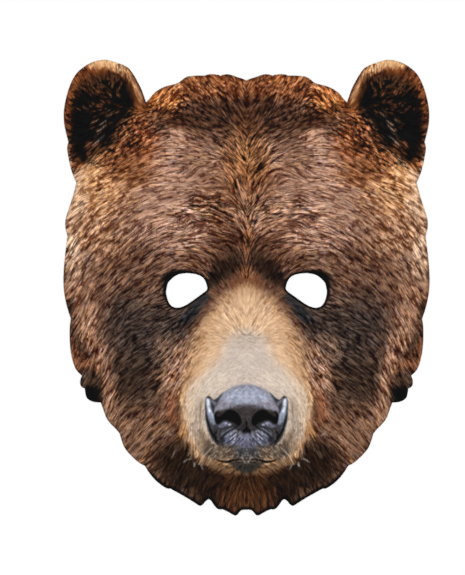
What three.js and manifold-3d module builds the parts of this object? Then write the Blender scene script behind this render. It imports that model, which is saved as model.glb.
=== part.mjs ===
// A bear face mask: one sheet of card, die-cut to the animal's head and ears, with two eye holes.
// It lies on its back. Millimetres, +Z up: the printed face looks up along +Z and the ears point along +Y.
// The origin is on the underside, at the centre of the sheet's length and width.
import * as THREE from "three";
import { mergeVertices } from "three/addons/utils/BufferGeometryUtils.js";
import Module from "manifold-3d";

const wasm = await Module();
wasm.setup();

// Driving dimensions
const cardThickness = 0.5;
const headWidth = 205; // across the cheeks
const headHeight = 247; // from the chin's tufts to the crown
const earHeight = 40; // square to the line where the ear meets the head
const earRootDepth = 6; // how far the ear's blank runs on under the head's
const eyeSpacing = 67; // between the middles of the two eye holes
const eyeLevel = 126; // the middle of an eye hole above the chin's tufts
const eyeWidth = 23;
const eyeHeight = 19.4;
const punchOverrun = 2; // the eye punch stands proud of both faces by this

// Working values
const stepsPerPoint = 3; // straight steps between two points of a smooth stretch
const weldTolerance = 1e-4; // corners closer than this are one vertex
const earFootInset = 0.15; // share of the line under the ear by which its blank is drawn in at both ends

// The left half of the head's edge, from the crown's parting down to the chin, as smooth stretches of fur
// that meet at corners. across is a share of half the head's width, up is a share of its height.
const crownParting = { across: 0, up: 0.986 };
const headEdge = [
  {
    stretch: "crown middle",
    across: [0.022, 0.046, 0.08, 0.104, 0.126, 0.141],
    up: [0.99, 0.993, 0.998, 1, 0.999, 0.997],
  },
  {
    stretch: "crown side",
    across: [0.158, 0.183, 0.206, 0.227],
    up: [0.999, 1, 1, 0.997],
  },
  {
    stretch: "crown edge",
    across: [0.265, 0.298, 0.321, 0.344, 0.366],
    up: [0.997, 0.996, 0.995, 0.99, 0.982],
  },
  {
    stretch: "brow",
    across: [0.39, 0.429, 0.467, 0.505, 0.527, 0.549],
    up: [0.978, 0.974, 0.968, 0.957, 0.946, 0.936],
  },
  {
    stretch: "ear root",
    across: [0.628, 0.725, 0.85, 0.929],
    up: [0.898, 0.847, 0.794, 0.754],
  },
  {
    stretch: "temple",
    across: [0.944, 0.958, 0.974, 0.987, 0.99, 0.986, 0.978],
    up: [0.73, 0.711, 0.691, 0.673, 0.658, 0.645, 0.634],
  },
  {
    stretch: "cheek",
    across: [0.983, 0.99, 0.996, 1, 0.996, 0.987, 0.974, 0.959],
    up: [0.616, 0.593, 0.568, 0.535, 0.506, 0.485, 0.464, 0.446],
  },
  {
    stretch: "jowl",
    across: [0.965, 0.966, 0.963, 0.955, 0.933, 0.899],
    up: [0.428, 0.407, 0.384, 0.36, 0.332, 0.317],
  },
  {
    stretch: "upper tuft",
    across: [0.907, 0.908, 0.899, 0.883],
    up: [0.308, 0.298, 0.291, 0.288],
  },
  {
    stretch: "lower tuft",
    across: [0.881, 0.874, 0.856, 0.829, 0.796],
    up: [0.28, 0.268, 0.261, 0.257, 0.256],
  },
  {
    stretch: "jaw top",
    across: [0.782, 0.765, 0.74, 0.711, 0.692],
    up: [0.24, 0.221, 0.207, 0.195, 0.185],
  },
  {
    stretch: "jaw middle",
    across: [0.681, 0.665, 0.64, 0.606, 0.577, 0.556],
    up: [0.169, 0.153, 0.14, 0.126, 0.117, 0.113],
  },
  {
    stretch: "jaw bottom",
    across: [0.538, 0.513, 0.481, 0.451, 0.431, 0.416],
    up: [0.101, 0.087, 0.074, 0.065, 0.061, 0.061],
  },
  {
    stretch: "chin side",
    across: [0.334, 0.28, 0.255, 0.238, 0.222, 0.207],
    up: [0.042, 0.028, 0.022, 0.025, 0.033, 0.037],
  },
  {
    stretch: "chin tuft",
    across: [0.194, 0.18, 0.164, 0.15, 0.131],
    up: [0.034, 0.025, 0.017, 0.014, 0.014],
  },
  {
    stretch: "chin middle",
    across: [0.099, 0.075, 0.062, 0.05, 0.031, 0.016, 0],
    up: [0.008, 0.002, 0, 0.002, 0.011, 0.013, 0.013],
  },
];

// The left ear's edge. It starts where the head's brow stretch ends and comes back where its ear root ends.
// along is a share of the line between those two points, out is a share of the ear's height, square to it.
const earEdge = [
  {
    stretch: "front",
    along: [-0.062, -0.097, -0.123, -0.137, -0.125],
    out: [0.158, 0.282, 0.395, 0.498, 0.594],
  },
  {
    stretch: "top",
    along: [-0.09, -0.06, -0.009, 0.064, 0.154, 0.242, 0.344, 0.444, 0.533, 0.598, 0.663, 0.715, 0.759],
    out: [0.717, 0.807, 0.885, 0.951, 0.992, 1, 0.962, 0.898, 0.824, 0.752, 0.656, 0.553, 0.458],
  },
  {
    stretch: "back",
    along: [0.81, 0.858, 0.913, 0.962, 1],
    out: [0.417, 0.335, 0.231, 0.117, 0],
  },
];

// An eye hole's edge: over the top and down the side away from the nose, then back under it and up.
// outward is a share of half its width, away from the nose, and up is a share of half its height.
const eyeEdge = [
  {
    stretch: "outer side",
    outward: [0.02, 0.36, 0.6, 0.79, 0.92, 1, 0.97, 0.89, 0.77, 0.62, 0.41, 0.21],
    up: [1, 0.94, 0.8, 0.6, 0.4, -0.05, -0.35, -0.64, -0.86, -0.97, -1, -0.94],
  },
  {
    stretch: "inner side",
    outward: [-0.03, -0.28, -0.57, -0.83, -0.98, -1, -0.95, -0.87, -0.74, -0.51, -0.23],
    up: [-0.8, -0.6, -0.35, -0.13, 0.03, 0.17, 0.42, 0.62, 0.79, 0.92, 0.98],
  },
];

// The points of a smooth curve through a few given ones, without the first.
function smoothStretch(points) {
  const curve = new THREE.SplineCurve(points);
  return curve.getPoints((points.length - 1) * stepsPerPoint).slice(1);
}

// The edge that starts at a point and runs through the given points of each stretch, and where each one ends.
function edgeThrough(start, stretches) {
  const edge = [start];
  const ends = {};
  for (const [name, points] of Object.entries(stretches)) {
    edge.push(...smoothStretch([edge.at(-1), ...points]));
    ends[name] = edge.at(-1);
  }
  return { edge, ends };
}

const mirrored = (points) => points.map((p) => new THREE.Vector2(-p.x, p.y)).reverse();

// A flat closed outline raised to a plate from z = bottom to z = top, as a solid that can be cut and joined.
function plate(outline, bottom, top) {
  const drawn = THREE.ShapeUtils.isClockWise(outline) ? [...outline].reverse() : outline;
  const geometry = new THREE.ExtrudeGeometry(new THREE.Shape(drawn), {
    depth: top - bottom,
    bevelEnabled: false,
    curveSegments: 1,
  });
  geometry.translate(0, 0, bottom);
  geometry.deleteAttribute("normal");
  geometry.deleteAttribute("uv");
  const merged = mergeVertices(geometry, weldTolerance);
  return new wasm.Manifold(
    new wasm.Mesh({
      numProp: 3,
      vertProperties: new Float32Array(merged.attributes.position.array),
      triVerts: new Uint32Array(merged.index.array),
    }),
  );
}

// The head's left half-edge, and the two corners where the ear stands on it.
function headHalf() {
  const place = (across, up) => new THREE.Vector2((-across * headWidth) / 2, up * headHeight);
  const stretches = {};
  for (const row of headEdge)
    stretches[row.stretch] = row.across.map((across, i) => place(across, row.up[i]));
  const { edge, ends } = edgeThrough(place(crownParting.across, crownParting.up), stretches);
  return { edge, earFront: ends.brow, earBack: ends["ear root"] };
}

function headBlank(half) {
  const right = mirrored(half.edge).slice(1, -1);
  return plate([...half.edge, ...right], 0, cardThickness);
}

// The left ear's outline, standing on the line between its two corners and closed inside the head.
function earOutline({ earFront, earBack }) {
  const root = earBack.clone().sub(earFront);
  const outDirection = new THREE.Vector2(root.y, -root.x).normalize();
  const place = (along, out) =>
    earFront.clone().addScaledVector(root, along).addScaledVector(outDirection, out);
  const stretches = {};
  for (const row of earEdge)
    stretches[row.stretch] = row.along.map((along, i) => place(along, row.out[i] * earHeight));
  const { edge } = edgeThrough(earFront, stretches);
  return [...edge, place(1 - earFootInset, -earRootDepth), place(earFootInset, -earRootDepth)];
}

// The punch for the left eye hole.
function eyeOutline() {
  const place = (outward, up) =>
    new THREE.Vector2(-eyeSpacing / 2 - (outward * eyeWidth) / 2, eyeLevel + (up * eyeHeight) / 2);
  const points = eyeEdge.flatMap((row) => row.outward.map((outward, i) => place(outward, row.up[i])));
  return smoothStretch([...points, points[0]]);
}

function cardGeometry() {
  const half = headHalf();
  let card = headBlank(half);
  const ear = earOutline(half);
  for (const outline of [ear, mirrored(ear)]) card = card.add(plate(outline, 0, cardThickness));
  const eye = eyeOutline();
  for (const outline of [eye, mirrored(eye)])
    card = card.subtract(plate(outline, -punchOverrun, cardThickness + punchOverrun));

  const mesh = card.getMesh();
  const geometry = new THREE.BufferGeometry();
  geometry.setAttribute("position", new THREE.BufferAttribute(mesh.vertProperties, 3));
  geometry.setIndex(new THREE.BufferAttribute(mesh.triVerts, 1));
  geometry.computeBoundingBox();
  const middle = geometry.boundingBox.getCenter(new THREE.Vector3());
  geometry.translate(0, -middle.y, 0);
  return geometry;
}

const printedCard = new THREE.MeshStandardMaterial({ color: 0x6b4630, roughness: 0.55, metalness: 0 });

const card = new THREE.Mesh(cardGeometry(), printedCard);
card.name = "mask_card";

const mask = new THREE.Group();
mask.add(card);

export default mask;
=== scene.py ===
import bpy
import numpy as np
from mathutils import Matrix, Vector
from mathutils.geometry import delaunay_2d_cdt


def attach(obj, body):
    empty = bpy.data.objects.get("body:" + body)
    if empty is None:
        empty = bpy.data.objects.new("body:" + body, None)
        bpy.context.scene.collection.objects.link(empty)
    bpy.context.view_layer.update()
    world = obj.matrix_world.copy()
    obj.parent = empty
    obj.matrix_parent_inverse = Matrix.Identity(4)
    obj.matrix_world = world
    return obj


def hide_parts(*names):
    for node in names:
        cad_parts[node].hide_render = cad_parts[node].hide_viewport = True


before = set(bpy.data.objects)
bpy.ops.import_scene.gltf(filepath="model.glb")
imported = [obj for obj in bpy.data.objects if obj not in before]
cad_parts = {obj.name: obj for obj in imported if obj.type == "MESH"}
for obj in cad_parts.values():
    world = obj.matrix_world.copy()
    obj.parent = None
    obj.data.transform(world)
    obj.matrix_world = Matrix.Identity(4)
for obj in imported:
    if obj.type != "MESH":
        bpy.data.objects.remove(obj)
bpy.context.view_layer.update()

# where the card lies in the 465 x 575 photograph, in its pixels, and the size of one pixel on the card
photo = {"middleX": 246.0, "middleY": 287.7, "metresPerPixel": 0.00056}

# the print
# It is painted in numpy on a canvas that holds its left half and a strip past its middle. Columns run
# outwards to the left and rows run down. The right half is the left one's mirror image, apart from the middle
# of the forehead, where the strip is read. The canvas is measured in the photograph's pixels, and each px and
# py is a place in the photograph.
canvas = {"cell": 0.45, "reach": 188.1, "pastMiddle": 62.1, "top": 54.0, "bottom": 520.0, "seed": 5}
forehead = {
    # outwards, py, half-width and half-height of the part read from the strip
    "unmirrored": (0.0, 188.0, 41.0, 51.0),
    "parting": (0.0, 204.0, 20.0, 38.0),  # the same of the part where the fur's parting leaves the middle
    "partingShift": 3.5,  # pixels by which it does, to the right
}

acrossCount = round((canvas["reach"] + canvas["pastMiddle"]) / canvas["cell"])
downCount = int((canvas["bottom"] - canvas["top"]) / canvas["cell"])
outward = (np.arange(acrossCount) + 0.5) * canvas["cell"] - canvas["pastMiddle"]
down = canvas["top"] + (np.arange(downCount) + 0.5) * canvas["cell"]
gridOut, gridDown = np.meshgrid(outward, down)


def smooth(x):
    # 0 below 0 and 1 above 1, with an even slope between
    x = np.clip(x, 0, 1)
    return x * x * (3 - 2 * x)


def softEllipse(o, d, middleOut, middleDown, across, up):
    # 1 in the middle, and falls to 0 at one and a half times the half-widths
    return smooth(1.5 - np.hypot((o - middleOut) / across, (d - middleDown) / up))


# how far a cell lies from the fur's parting, below 0 on its right
fromParting = gridOut + forehead["partingShift"] * softEllipse(gridOut, gridDown, *forehead["parting"])

tones = {
    "umber": (106, 74, 57), "mauve": (163, 124, 104), "mauveLight": (181, 137, 113), "ochre": (206, 152, 108),
    "rust": (112, 70, 46), "orange": (158, 95, 57), "crownSide": (186, 112, 62), "edgeTan": (220, 182, 150),
    "templeLow": (186, 141, 109), "earRoot": (156, 88, 51), "cocoa": (71, 43, 30), "chestnut": (146, 86, 50),
    "soot": (40, 28, 21), "shadow": (68, 54, 48), "bark": (60, 45, 36), "hazel": (143, 107, 85),
    "tan": (150, 110, 86), "russet": (117, 73, 50), "fawn": (108, 76, 57), "pitch": (12, 9, 7),
    "chinBrown": (64, 38, 21), "cream": (222, 204, 185), "apricot": (223, 184, 147), "dove": (212, 195, 181),
    "honey": (198, 156, 118), "amber": (180, 132, 88), "flankRose": (178, 158, 140),
    "topBrown": (120, 74, 48), "templeRust": (138, 84, 49), "cheekTan": (158, 118, 96),
    "browDark": (84, 53, 38), "taupe": (138, 117, 98), "earTan": (240, 188, 138), "earPale": (186, 134, 92),
    "earSide": (134, 72, 38), "earRust": (128, 70, 36), "earBrown": (96, 62, 42), "cacao": (134, 94, 70),
    "eyeSlate": (47, 46, 47), "jawRed": (132, 80, 54), "jawDark": (34, 22, 15), "leather": (140, 140, 152),
    "leatherPale": (158, 160, 177), "leatherSheen": (178, 184, 204), "leatherDark": (54, 52, 54),
    "leatherMauve": (138, 131, 144), "leatherWarm": (60, 54, 54), "slate": (56, 64, 76), "coal": (5, 5, 5),
    "ridge": (60, 52, 50), "flare": (156, 164, 184), "glint": (228, 236, 248), "steel": (86, 90, 100),
    "lavender": (116, 116, 136), "lipFur": (68, 65, 66), "chinFur": (46, 44, 42), "whisker": (222, 214, 204),
    "wisp": (152, 130, 112), "lipSide": (86, 72, 60), "rimBrown": (112, 85, 60), "partingTone": (134, 81, 46),
    "partingGold": (188, 130, 80), "lidBrown": (94, 60, 42),
}

# soft ellipses of fur colour, laid one on another
dabs = [
    # name, px, py, half-width, half-height, tilt in degrees, tone, strength
    ("forehead", 184, 190, 62, 66, 0, "mauve", 1.0),
    ("forehead side", 154, 172, 24, 20, 0, "mauveLight", 1.0),
    ("forehead low", 160, 216, 30, 18, 0, "mauveLight", 0.25),
    ("forehead inner", 200, 166, 16, 24, 0, "tan", 0.5),
    ("forehead upper", 190, 160, 26, 9, 0, "fawn", 0.25),
    ("temple", 95, 200, 34, 44, 0, "ochre", 0.95),
    ("temple edge", 71, 204, 14, 42, 0, "edgeTan", 0.8),
    ("temple inner", 118, 208, 16, 10, 20, "ochre", 0.5),
    ("temple top", 124, 163, 28, 20, 30, "templeRust", 0.9),
    ("brow side", 130, 226, 30, 24, 35, "mauve", 0.55),
    ("brow side low", 134, 241, 14, 9, 30, "umber", 0.4),
    ("crown", 205, 84, 60, 17, 0, "orange", 0.85),
    ("crown top", 200, 76, 26, 8, 0, "crownSide", 0.5),
    ("crown side", 160, 98, 28, 20, 40, "crownSide", 1.0),
    ("ear root", 130, 129, 32, 20, 45, "earRoot", 1.0),
    ("ear root foot", 132, 142, 14, 8, 35, "earBrown", 0.35),
    ("ear root low", 108, 154, 16, 10, 30, "chestnut", 0.7),
    ("crown dark", 218, 118, 44, 17, -4, "cocoa", 1.0),
    ("forehead top", 180, 138, 16, 9, 15, "mauveLight", 0.7),
    ("parting dark", 241, 128, 8, 24, 0, "cocoa", 0.8),
    ("crown dark foot", 160, 126, 10, 7, 30, "cocoa", 0.55),
    ("crown dark side", 172, 119, 20, 7, 20, "cocoa", 0.6),
    ("parting", 240, 176, 20, 44, 0, "partingTone", 0.85),
    ("parting light", 240, 172, 12, 20, 0, "partingGold", 0.1),
    ("brow inner", 222, 214, 24, 30, 0, "cacao", 0.9),
    ("parting top", 246, 151, 9, 10, 0, "partingGold", 0.35),
    ("parting fan", 231, 143, 9, 8, 0, "partingGold", 0.15),
    ("crown dark low", 206, 142, 16, 8, 0, "cocoa", 0.45),
    ("brow lower", 240, 250, 24, 20, 0, "browDark", 1.0),
    ("parting low", 246, 240, 6, 18, 0, "chestnut", 0.5),
    ("brow inner right", 274, 212, 26, 26, 0, "mauve", 0.4),
    ("crown dark right", 272, 120, 32, 16, 0, "rust", 0.5),
    ("eye top orange", 204, 254, 20, 12, -30, "lidBrown", 0.6),
    ("eye top mauve", 178, 240, 28, 12, 0, "mauve", 0.5),
    ("eye lid", 176, 259, 20, 7, 0, "umber", 0.6),
    ("cheek", 112, 278, 50, 44, 0, "umber", 0.95),
    ("brow outer", 146, 236, 24, 10, 0, "mauve", 0.6),
    ("eye outer", 152, 269, 20, 7, 0, "hazel", 0.2),
    ("cheek outer", 80, 264, 20, 42, 0, "hazel", 0.9),
    ("temple low", 93, 237, 32, 17, 22, "templeLow", 0.85),
    ("cheek edge", 71, 254, 9, 30, 0, "edgeTan", 0.65),
    ("eye below", 150, 334, 46, 42, 0, "shadow", 1.0),
    ("eye below out", 124, 318, 16, 26, 0, "shadow", 0.6),
    ("eye corner", 226, 267, 19, 10, -38, "soot", 0.85),
    ("eye corner low", 212, 279, 10, 7, -40, "pitch", 0.6),
    ("eye shadow", 167, 278, 9, 5, -30, "pitch", 0.8),
    ("eye side", 152, 294, 18, 16, 0, "hazel", 0.3),
    ("cheek dark", 128, 381, 23, 24, 20, "bark", 1.0),
    ("cheek dark low", 148, 400, 24, 14, -20, "bark", 0.6),
    ("cheek inner", 175, 371, 13, 28, 14, "cheekTan", 0.9),
    ("cheek inner high", 166, 350, 15, 14, 0, "hazel", 0.5),
    ("cheek inner top", 188, 344, 6, 18, 20, "hazel", 0.6),
    ("jaw", 138, 438, 40, 30, 30, "fawn", 0.8),
    ("jaw light", 140, 434, 18, 13, 40, "hazel", 0.3),
    ("jaw edge", 139, 463, 10, 8, 35, "hazel", 0.6),
    ("jaw inner", 172, 408, 9, 15, 0, "jawRed", 0.9),
    ("jaw low", 185, 468, 32, 24, 20, "jawDark", 1.0),
    ("chin", 240, 494, 36, 24, 0, "chinBrown", 1.0),
    ("throat middle", 246, 478, 12, 6, 0, "jawDark", 0.5),
    ("chin side", 208, 488, 16, 20, 0, "jawDark", 0.9),
]

# closed shapes of fur colour under the hairs: the edge's softness in pixels, tone, strength and points
furShapes = [
    ("edge strip", 8, "russet", 1.0, [(60, 280), (66, 290), (72, 306), (76, 326), (84, 344), (92, 362),
        (100, 376), (96, 384), (84, 384), (72, 372), (64, 340)]),
    ("stripe", 12, "tan", 1.0, [(69, 282), (84, 276), (90, 290), (92, 304), (95, 318), (99, 334), (107, 352),
        (111, 372), (115, 390), (118, 410), (113, 432), (104, 412), (101, 392), (97, 374), (90, 358),
        (79, 344), (71, 330), (67, 308)]),
    ("strip gap", 5, "pitch", 0.6, [(64, 302), (71, 302), (74, 309), (71, 316), (66, 314)]),
    ("strip line", 5, "soot", 0.65, [(66, 310), (69, 313), (72, 323), (79, 336), (85, 348), (90, 357),
        (86, 359), (77, 347), (69, 332), (65, 320)]),
    ("edge tuft", 8, "bark", 0.9, [(78, 372), (92, 372), (100, 384), (101, 404), (96, 409), (82, 404)]),
    ("edge tuft low", 7, "pitch", 1.0, [(85, 389), (95, 387), (99, 392), (100, 402), (95, 407), (84, 406)]),
    ("muzzle top", 14, "topBrown", 0.9, [(252, 262), (244, 266), (238, 274), (230, 284), (240, 292),
        (252, 292)]),
    ("muzzle", 12, "honey", 1.0, [(252, 281), (244, 283), (237, 287), (230, 291), (223, 295), (217, 300),
        (213, 307), (206, 316), (199, 324), (193, 336), (188, 352), (184, 368), (180, 384), (177, 396),
        (179, 412), (183, 424), (185, 440), (190, 454), (200, 463), (214, 468), (232, 471), (252, 473),
        (262, 471), (262, 285)]),
    ("muzzle inner", 14, "apricot", 1.0, [(252, 292), (240, 295), (230, 301), (222, 310), (215, 321),
        (208, 336), (202, 356), (196, 376), (190, 398), (192, 425), (200, 444), (214, 456), (252, 463),
        (262, 461), (262, 295)]),
    ("muzzle grey", 18, "dove", 1.0, [(252, 329), (238, 331), (227, 338), (219, 356), (206, 374), (198, 396),
        (198, 420), (206, 440), (214, 450), (252, 452), (262, 450), (262, 331)]),
    ("bridge crease", 9, "taupe", 0.18, [(252, 330), (238, 329), (229, 335), (226, 342), (236, 347),
        (252, 346), (262, 346), (262, 330)]),
    ("muzzle pale side", 12, "cream", 0.7, [(224, 366), (205, 374), (190, 384), (184, 398), (184, 414),
        (190, 430), (202, 438), (212, 400), (226, 384)]),
    ("muzzle taupe", 8, "taupe", 1.0, [(202, 428), (196, 436), (197, 450), (206, 458), (214, 458),
        (210, 444)]),
    ("muzzle shade", 7, "lipSide", 0.9, [(208, 440), (204, 446), (203, 453), (208, 458), (216, 461),
        (218, 452), (213, 444)]),
    ("flank band", 6, "flankRose", 0.8, [(201, 398), (196, 404), (193, 418), (188, 428), (190, 440),
        (197, 442), (203, 428), (204, 412)]),
    ("lower rim", 4, "rimBrown", 0.9, [(252, 465), (232, 466), (214, 463), (204, 458), (203, 462), (216, 469),
        (232, 472), (252, 473)]),
    ("side amber", 6, "amber", 0.2, [(192, 374), (183, 386), (180, 398), (181, 412), (186, 428), (188, 444),
        (189, 440), (187, 422), (185, 402)]),
    ("side amber spot", 4, "amber", 0.9, [(184, 424), (178, 428), (173, 433), (178, 438), (186, 438)]),
    ("side dark", 3, "soot", 0.5, [(178, 400), (175, 404), (176, 412), (181, 416), (180, 406)]),
    ("eye patch", 6, "eyeSlate", 1.0, [(203, 295), (209, 296), (206, 302), (200, 309), (198, 314), (190, 321),
        (180, 325), (178, 318), (186, 309), (195, 301)]),
    ("ear", 4, "earRust", 1.0, [(72, 168), (66, 140), (62, 112), (66, 88), (78, 70), (94, 60), (112, 60),
        (130, 68), (140, 86), (147, 104), (140, 114), (128, 121), (120, 134), (108, 146), (96, 156),
        (84, 166)]),
    ("ear rim left", 4, "earSide", 0.8, [(64, 96), (68, 86), (78, 74), (90, 66), (94, 70), (82, 80), (73, 96),
        (69, 112), (69, 140), (73, 160), (70, 162), (66, 140)]),
    ("ear rim top", 5, "earTan", 1.0, [(89, 66), (96, 58), (106, 54), (118, 57), (131, 66), (128, 75),
        (117, 71), (105, 67), (96, 68)]),
    ("ear rim inner", 3, "earPale", 1.0, [(122, 66), (129, 71), (136, 83), (142, 96), (142, 104), (137, 98),
        (131, 85), (125, 75)]),
    ("ear rim edge", 2, "cocoa", 0.8, [(126, 64), (133, 71), (141, 85), (146, 98), (148, 106), (144, 102),
        (138, 88), (131, 75)]),
    ("ear hollow left", 5, "pitch", 0.6, [(71, 160), (69, 142), (68.5, 118), (70, 104), (76, 98), (86, 110),
        (86, 150)]),
    ("ear hollow", 13, "pitch", 1.0, [(80, 162), (73, 152), (71, 132), (71, 112), (76, 94), (86, 81),
        (105, 74), (121, 77), (131, 91), (134, 106), (127, 117), (119, 126), (114, 136), (106, 147),
        (97, 153), (87, 163)]),
]

# How the fur lies: strokes drawn along the hairs, from their roots to their tips, with the length and
# the contrast of the hairs round them.
strokes = [
    # name, length, contrast, points
    ("parting", 10, 0.46, [(245, 268), (242, 240), (240, 215), (238, 190), (233, 170), (226, 155)]),
    ("parting top", 7, 0.44, [(245, 150), (240, 140), (234, 128), (228, 112), (220, 98)]),
    ("parting side", 10, 0.5, [(244, 185), (237, 172), (229, 162), (220, 154)]),
    ("crown middle", 5, 0.29, [(244, 118), (237, 106), (229, 95), (222, 86), (216, 78)]),
    ("crown inner", 6, 0.42, [(232, 134), (222, 129), (210, 121), (200, 112), (190, 102)]),
    ("crown dark", 7, 0.46, [(238, 131), (226, 128), (212, 124), (198, 118), (186, 112)]),
    ("crown top", 5, 0.32, [(216, 100), (209, 89), (203, 78)]),
    ("crown top side", 5, 0.32, [(198, 100), (190, 89), (182, 80)]),
    ("crown side", 5, 0.31, [(176, 86), (170, 96), (164, 106)]),
    ("ear root", 5, 0.5, [(172, 104), (160, 112), (148, 120), (136, 130), (122, 140), (108, 150)]),
    ("ear root low", 6, 0.36, [(172, 122), (156, 128), (142, 138), (128, 150), (112, 160)]),
    ("forehead top", 9, 0.23, [(212, 146), (198, 140), (184, 132), (172, 126)]),
    ("forehead upper", 10, 0.23, [(224, 162), (214, 155), (200, 151), (186, 150), (170, 150), (154, 154),
        (138, 162)]),
    ("forehead crest", 11, 0.19, [(240, 190), (230, 177), (220, 168), (208, 166), (196, 172), (182, 178),
        (166, 180), (148, 184), (130, 194)]),
    ("forehead middle", 12, 0.18, [(234, 200), (222, 192), (208, 190), (192, 194), (176, 198), (158, 202),
        (140, 212), (122, 226)]),
    ("brow wave", 12, 0.46, [(236, 212), (224, 207), (212, 210), (200, 206), (186, 206)]),
    ("brow wave low", 12, 0.26, [(240, 240), (230, 228), (216, 228), (202, 224), (188, 226), (172, 232),
        (154, 240), (136, 252)]),
    ("brow low", 10, 0.3, [(238, 262), (226, 246), (212, 242), (196, 240), (178, 240)]),
    ("above eye", 9, 0.28, [(222, 276), (212, 262), (202, 254), (190, 250), (176, 250), (160, 256),
        (142, 266), (124, 280)]),
    ("eye lid", 8, 0.26, [(206, 272), (198, 264), (188, 260), (176, 262), (162, 270), (148, 280),
        (130, 292)]),
    ("temple upper", 7, 0.25, [(136, 166), (120, 172), (104, 178), (88, 186), (74, 194)]),
    ("temple edge", 8, 0.12, [(88, 178), (78, 188), (69, 202)]),
    ("temple", 8, 0.21, [(140, 182), (122, 192), (104, 203), (88, 214), (72, 228)]),
    ("temple low", 9, 0.24, [(140, 206), (124, 217), (108, 230), (92, 244), (76, 262)]),
    ("cheek upper", 10, 0.25, [(148, 232), (130, 246), (112, 262), (94, 280), (80, 300)]),
    ("cheek edge", 9, 0.26, [(82, 236), (74, 248), (66, 262)]),
    ("cheek", 11, 0.34, [(150, 260), (132, 274), (114, 290), (98, 308), (86, 328), (76, 350)]),
    ("eye outer", 9, 0.3, [(156, 284), (140, 294), (124, 303), (110, 314), (100, 328), (94, 344)]),
    ("eye under", 9, 0.36, [(172, 312), (156, 318), (140, 326), (124, 336), (112, 348), (104, 364)]),
    ("eye low", 9, 0.4, [(186, 322), (174, 334), (160, 346), (144, 352), (128, 360), (116, 374)]),
    ("cheek inner", 9, 0.32, [(192, 318), (182, 332), (170, 348), (156, 362), (140, 372), (124, 384)]),
    ("cheek low", 9, 0.34, [(190, 340), (182, 356), (172, 372), (158, 386), (142, 396), (124, 408)]),
    ("stripe", 12, 0.17, [(98, 300), (90, 316), (84, 334)]),
    ("stripe middle", 11, 0.2, [(108, 352), (102, 366), (98, 380)]),
    ("stripe end", 12, 0.22, [(118, 376), (112, 392), (106, 410)]),
    ("edge strip", 10, 0.3, [(82, 344), (76, 356), (72, 366)]),
    ("edge tuft", 9, 0.4, [(100, 376), (92, 386), (84, 394)]),
    ("jowl", 11, 0.3, [(166, 384), (152, 396), (136, 408), (122, 424)]),
    ("jaw edge", 12, 0.26, [(120, 398), (114, 410), (110, 422)]),
    ("jaw", 13, 0.28, [(172, 404), (156, 416), (140, 431), (126, 447)]),
    ("jaw middle", 14, 0.3, [(180, 428), (164, 440), (150, 454), (138, 468)]),
    ("jaw low", 14, 0.33, [(184, 446), (174, 460), (164, 476)]),
    ("jaw inner", 9, 0.24, [(178, 388), (172, 402), (166, 418)]),
    ("throat", 12, 0.4, [(192, 464), (186, 478), (180, 494)]),
    ("throat inner", 12, 0.32, [(206, 474), (202, 490), (200, 506)]),
    ("chin side", 14, 0.26, [(220, 484), (216, 488), (213, 504)]),
    ("chin", 16, 0.28, [(233, 486), (230, 494), (229, 512)]),
    ("chin middle", 16, 0.28, [(245, 488), (244, 494), (244, 512)]),
    ("eye patch", 7, 0.09, [(209, 300), (199, 306), (188, 315)]),
    ("bridge", 5, 0.05, [(245, 318), (242, 300), (238, 282), (232, 266)]),
    ("bridge side", 6, 0.11, [(236, 322), (228, 310), (220, 300), (210, 292)]),
    ("muzzle top", 6, 0.06, [(226, 338), (216, 330), (204, 328), (194, 334), (186, 346)]),
    ("muzzle side", 6, 0.06, [(214, 350), (204, 354), (194, 362), (186, 374)]),
    ("muzzle front", 3, 0.035, [(240, 346), (228, 352), (216, 362), (206, 374)]),
    ("muzzle low", 3, 0.045, [(236, 372), (222, 380), (208, 388), (198, 400)]),
    ("flank", 3, 0.06, [(194, 386), (188, 402), (187, 420), (190, 440)]),
    ("flank low", 4, 0.09, [(200, 420), (199, 436), (203, 450)]),
    ("lip", 5, 0.12, [(216, 446), (210, 453), (203, 460)]),
    ("lower rim", 5, 0.14, [(240, 464), (228, 469), (216, 472)]),
    ("rim middle", 3, 0.14, [(246, 460), (245, 467), (244, 476)]),
    ("rim foot", 3, 0.2, [(236, 470), (233, 476), (228, 479)]),
    ("ear top left", 6, 0.26, [(96, 96), (88, 84), (80, 72)]),
    ("ear top", 5, 0.08, [(106, 88), (104, 74), (102, 62)]),
    ("ear top right", 6, 0.26, [(122, 92), (124, 80), (127, 68)]),
    ("ear rim right", 6, 0.08, [(143, 104), (138, 90), (130, 76)]),
    ("ear left", 6, 0.3, [(84, 104), (76, 98), (68, 92)]),
    ("ear left low", 6, 0.3, [(82, 130), (74, 126), (66, 122)]),
    ("ear foot", 6, 0.3, [(86, 150), (78, 156), (70, 162)]),
    ("ear core", 6, 0.9, [(110, 100), (100, 98), (90, 94)]),
    ("ear inside", 8, 0.9, [(118, 108), (108, 116), (98, 124), (88, 132)]),
    ("ear inside low", 9, 1.1, [(114, 128), (104, 136), (94, 144), (84, 152)]),
]

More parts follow.
